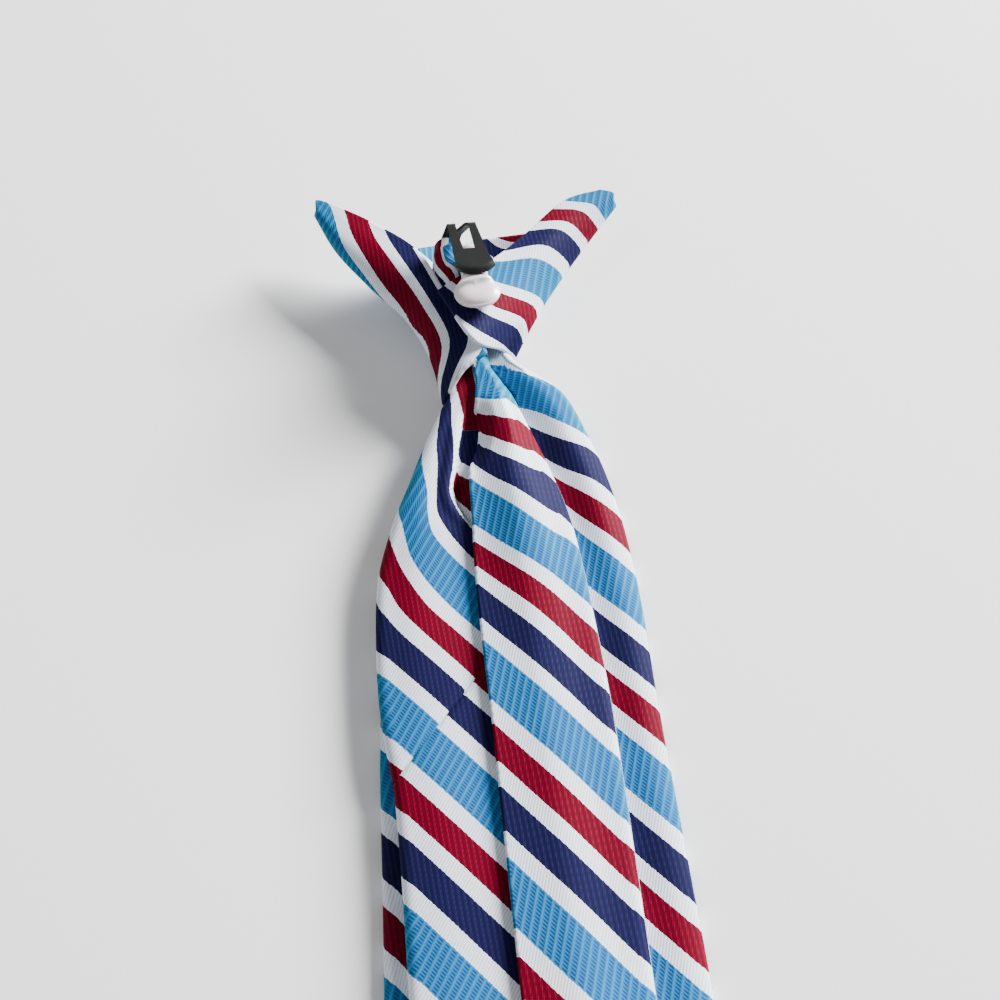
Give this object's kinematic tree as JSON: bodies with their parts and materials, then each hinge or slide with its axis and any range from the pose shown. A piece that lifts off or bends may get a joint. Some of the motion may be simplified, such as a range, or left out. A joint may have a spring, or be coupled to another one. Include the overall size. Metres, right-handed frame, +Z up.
{
  "type": "clip-on tie",
  "caption": "Ready-tied necktie with a flared knot, two pointed blades folded from striped cloth, a plastic former and a metal hook clip.",
  "frame": {"origin": "middle of the lying tie's outline, on the surface it rests on", "axes": "+Z up out of the tie's back, +Y along the tie towards the knot, +X across it, to the right seen from behind"},
  "size_m": [0.0754, 0.356, 0.0227],
  "materials": {
    "striped_cloth": "satin weave with bias stripes of navy, red and light blue between white ones",
    "white_plastic": "glossy, slightly translucent",
    "black_metal": "satin black"
  },
  "bodies": {
    "root": {"front_blade": "striped_cloth", "tail_blade": "striped_cloth", "knot_cover": "striped_cloth", "knot_former": "white_plastic", "clip": "black_metal"}
  },
  "joints": []
}
